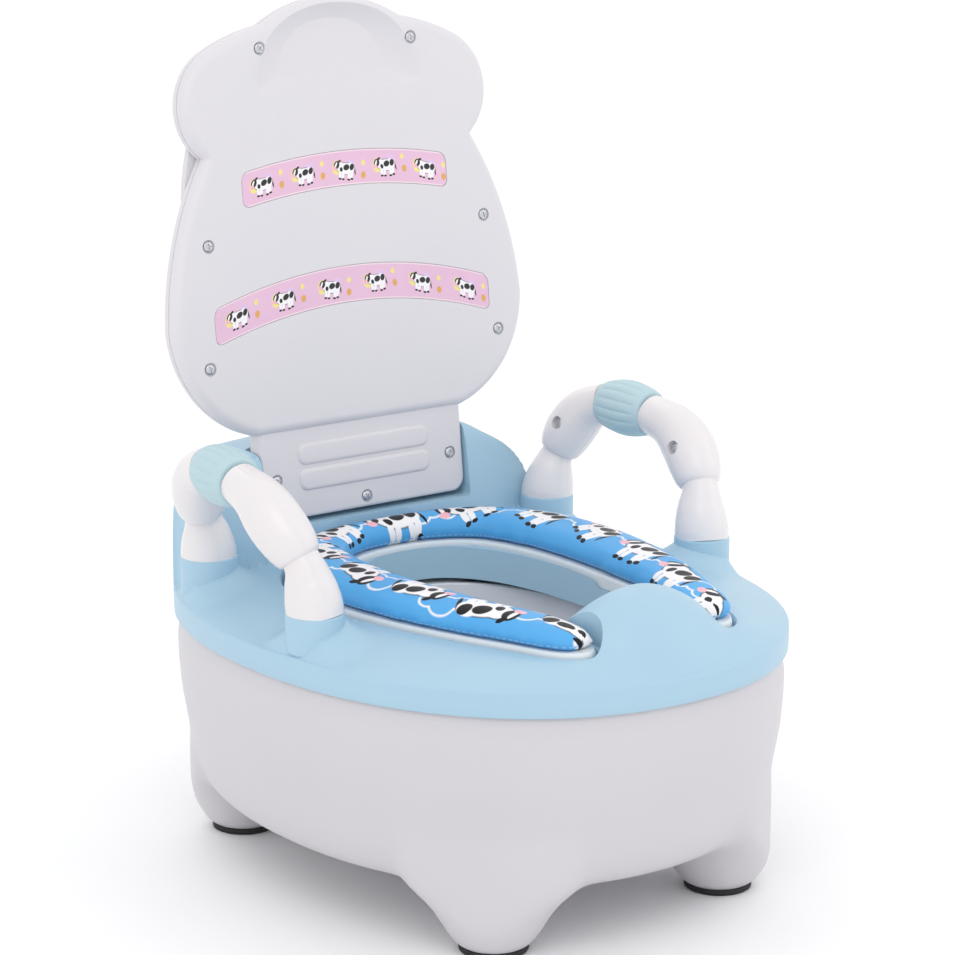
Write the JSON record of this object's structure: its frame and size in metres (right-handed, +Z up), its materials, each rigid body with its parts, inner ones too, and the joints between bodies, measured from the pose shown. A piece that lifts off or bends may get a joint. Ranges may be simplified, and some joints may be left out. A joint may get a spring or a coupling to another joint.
{
  "type": "potty training chair",
  "caption": "Footed child's potty chair with fold-down backrest lid, padded seat ring, side grab handles and a slide-out pot.",
  "frame": {"origin": "on the floor, under the middle of the seat rim", "axes": "+Z up, front (splash guard) faces -Y, +X to the right as seen from the front"},
  "size_m": [0.3458, 0.4118, 0.5189],
  "materials": {
    "base": "satin white moulded polypropylene",
    "lid": "fine-textured white moulded polypropylene",
    "handle": "glossy white moulded polypropylene",
    "panel": "satin pale-blue moulded polypropylene",
    "pot": "glossy off-white moulded polypropylene",
    "grip": "soft mint-teal elastomer sleeve",
    "pads": "black rubber foot",
    "band": "printed pink glossy inlay",
    "cushion": "printed blue artificial leather",
    "foam": "open-cell cushion foam",
    "board": "pale stiff carrier board",
    "steel": "plain steel pin",
    "screws": "zinc-plated pan-head screw"
  },
  "bodies": {
    "root": {"base_shell": "base", "foot_pad_front_left": "pads", "foot_pad_front_right": "pads", "foot_pad_rear_left": "pads", "foot_pad_rear_right": "pads", "seat_panel": "panel", "cushion_board": "board", "cushion_foam": "foam", "cushion_cover": "cushion", "hinge_pin_left": "steel", "hinge_pin_right": "steel", "handle_left_front_inner": "handle", "handle_left_front_outer": "handle", "handle_left_rear_inner": "handle", "handle_left_rear_outer": "handle", "handle_left_grip": "grip", "handle_left_screws": "screws", "handle_right_front_inner": "handle", "handle_right_front_outer": "handle", "handle_right_rear_inner": "handle", "handle_right_rear_outer": "handle", "handle_right_grip": "grip", "handle_right_screws": "screws"},
    "lid": {"lid_front_shell": "lid", "lid_back_shell": "lid", "band_upper": "band", "band_lower": "band", "lid_screws": "screws"},
    "drawer": {"drawer_pot": "pot", "drawer_front": "base"}
  },
  "joints": [
    {"name": "lid_hinge", "type": "hinge", "parent": "root", "child": "lid", "pos_m": [0, 0.12021, 0.21089], "axis": [1, 0, 0], "range_deg": [0, 96.56]},
    {"name": "drawer_slide", "type": "slide", "parent": "root", "child": "drawer", "axis": [0, 1, 0], "range_m": [0, 0.33]}
  ]
}
